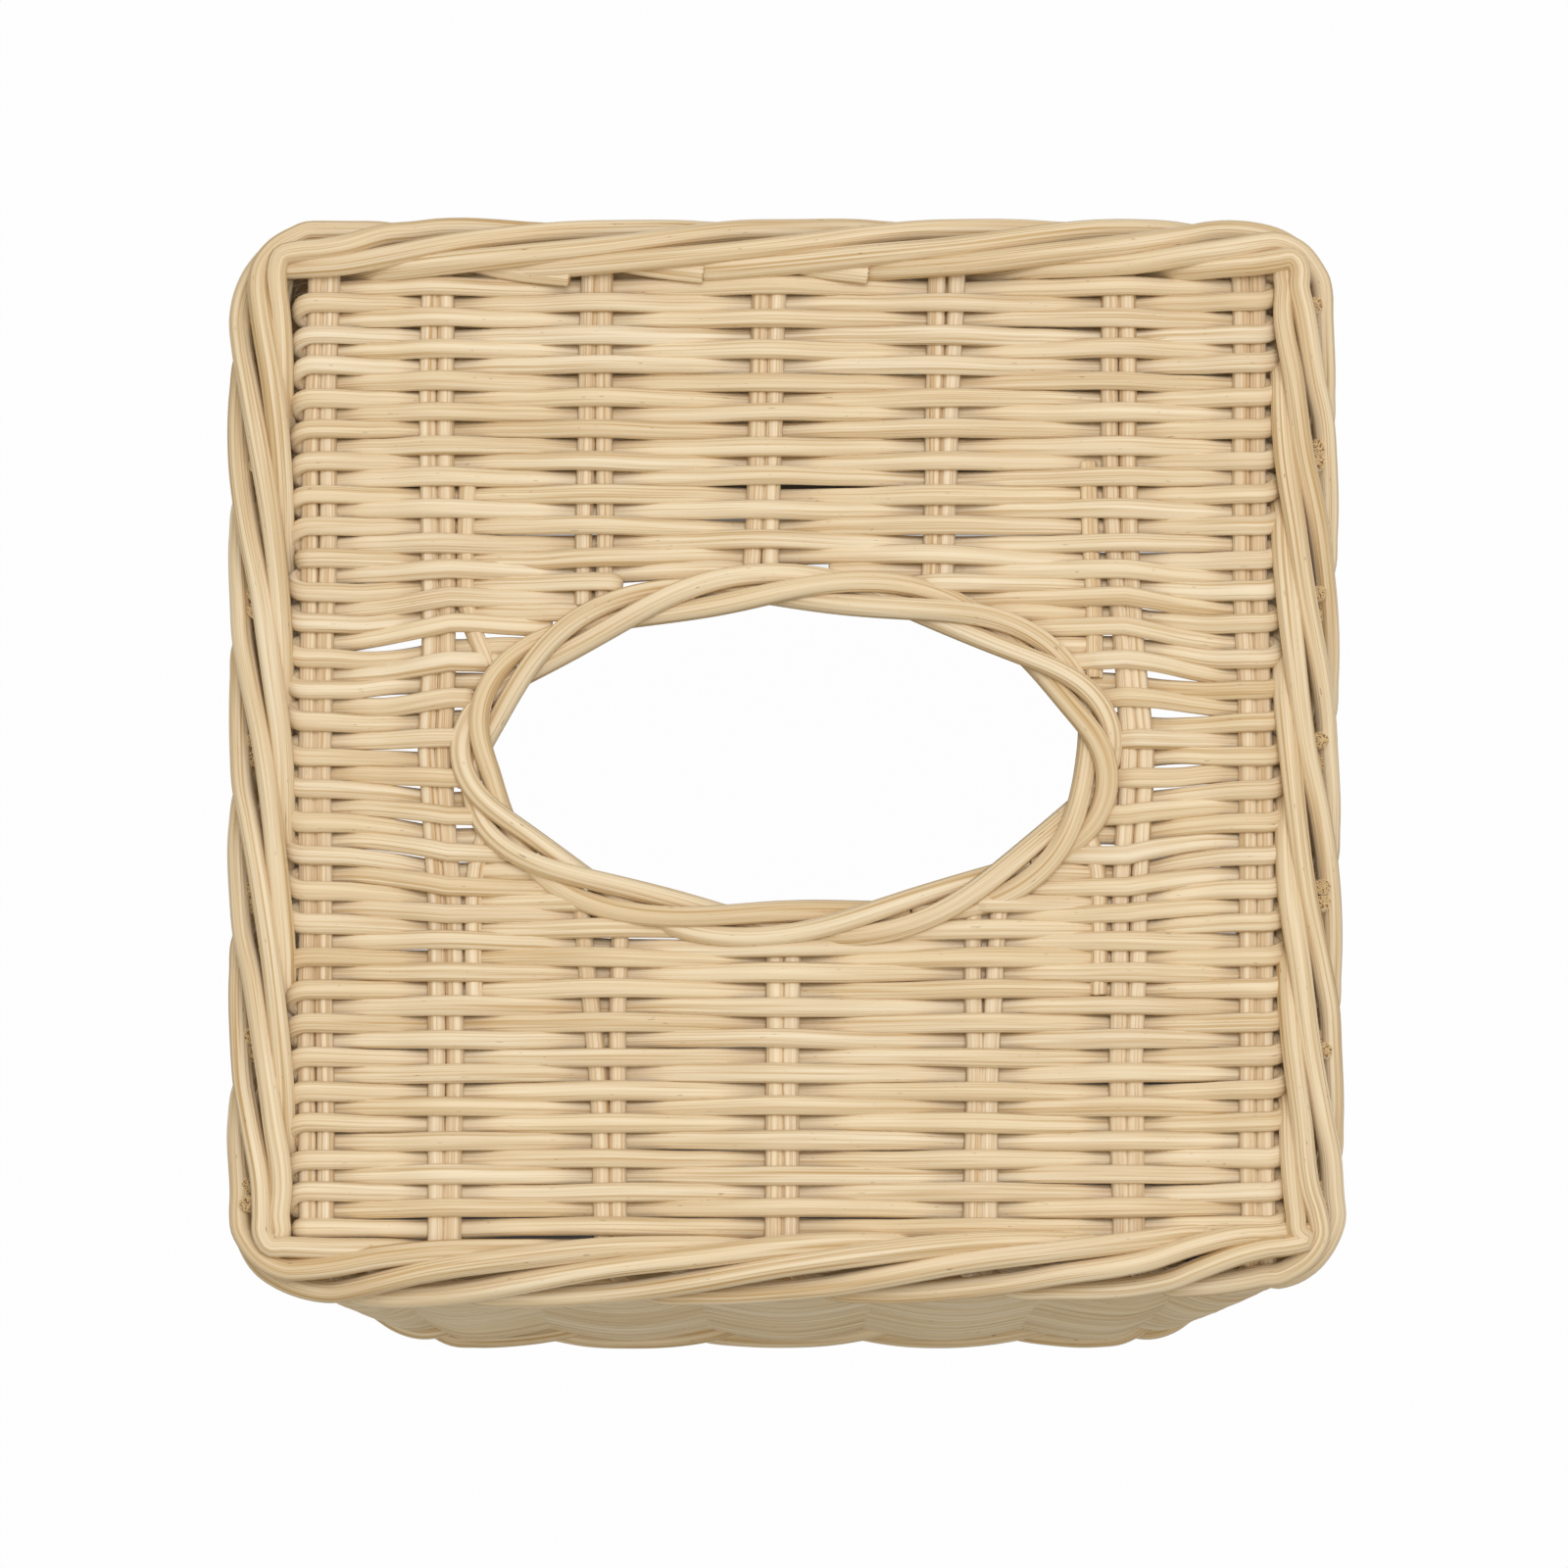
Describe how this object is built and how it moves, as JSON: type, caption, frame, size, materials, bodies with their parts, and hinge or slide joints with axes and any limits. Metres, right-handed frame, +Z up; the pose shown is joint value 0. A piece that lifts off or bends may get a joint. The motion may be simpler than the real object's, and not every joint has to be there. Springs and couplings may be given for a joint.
{
  "type": "tissue box cover",
  "caption": "Square woven rattan cane cover for a cube tissue box, open below, with a twisted cane ring round an oval slot in its top.",
  "frame": {"origin": "on the floor at the middle of the base", "axes": "+Z up, +X to the right along the slot, +Y to the back, away from the picture's near side"},
  "size_m": [0.145, 0.141, 0.135],
  "materials": {
    "weaver_cane": "natural round rattan core, matte",
    "stake_cane": "natural round rattan core, matte",
    "edge_cane": "natural round rattan core, matte"
  },
  "bodies": {
    "root": {"back_wall_weavers": "weaver_cane", "base_border_strand_1": "edge_cane", "base_border_strand_2": "edge_cane", "edge_wale_strand_1": "edge_cane", "edge_wale_strand_2": "edge_cane", "edge_wale_strand_3": "edge_cane", "edge_wale_strand_4": "edge_cane", "front_wall_weavers": "weaver_cane", "left_wall_stake_1": "stake_cane", "left_wall_stake_2": "stake_cane", "left_wall_stake_3": "stake_cane", "left_wall_stake_4": "stake_cane", "left_wall_stake_5": "stake_cane", "left_wall_stake_6": "stake_cane", "left_wall_stake_7": "stake_cane", "left_wall_weavers": "weaver_cane", "right_wall_stake_1": "stake_cane", "right_wall_stake_2": "stake_cane", "right_wall_stake_3": "stake_cane", "right_wall_stake_4": "stake_cane", "right_wall_stake_5": "stake_cane", "right_wall_stake_6": "stake_cane", "right_wall_stake_7": "stake_cane", "right_wall_weavers": "weaver_cane", "short_stake_back_left": "stake_cane", "short_stake_back_right": "stake_cane", "short_stake_front_left": "stake_cane", "short_stake_front_right": "stake_cane", "slot_ring_strand_1": "edge_cane", "slot_ring_strand_2": "edge_cane", "slot_ring_strand_3": "edge_cane", "stake_column_1": "stake_cane", "stake_column_2": "stake_cane", "stake_column_3_back": "stake_cane", "stake_column_3_front": "stake_cane", "stake_column_4_back": "stake_cane", "stake_column_4_front": "stake_cane", "stake_column_5_back": "stake_cane", "stake_column_5_front": "stake_cane", "stake_column_6": "stake_cane", "stake_column_7": "stake_cane", "top_weavers_back": "weaver_cane", "top_weavers_front": "weaver_cane", "top_weavers_left": "weaver_cane", "top_weavers_right": "weaver_cane"}
  },
  "joints": []
}
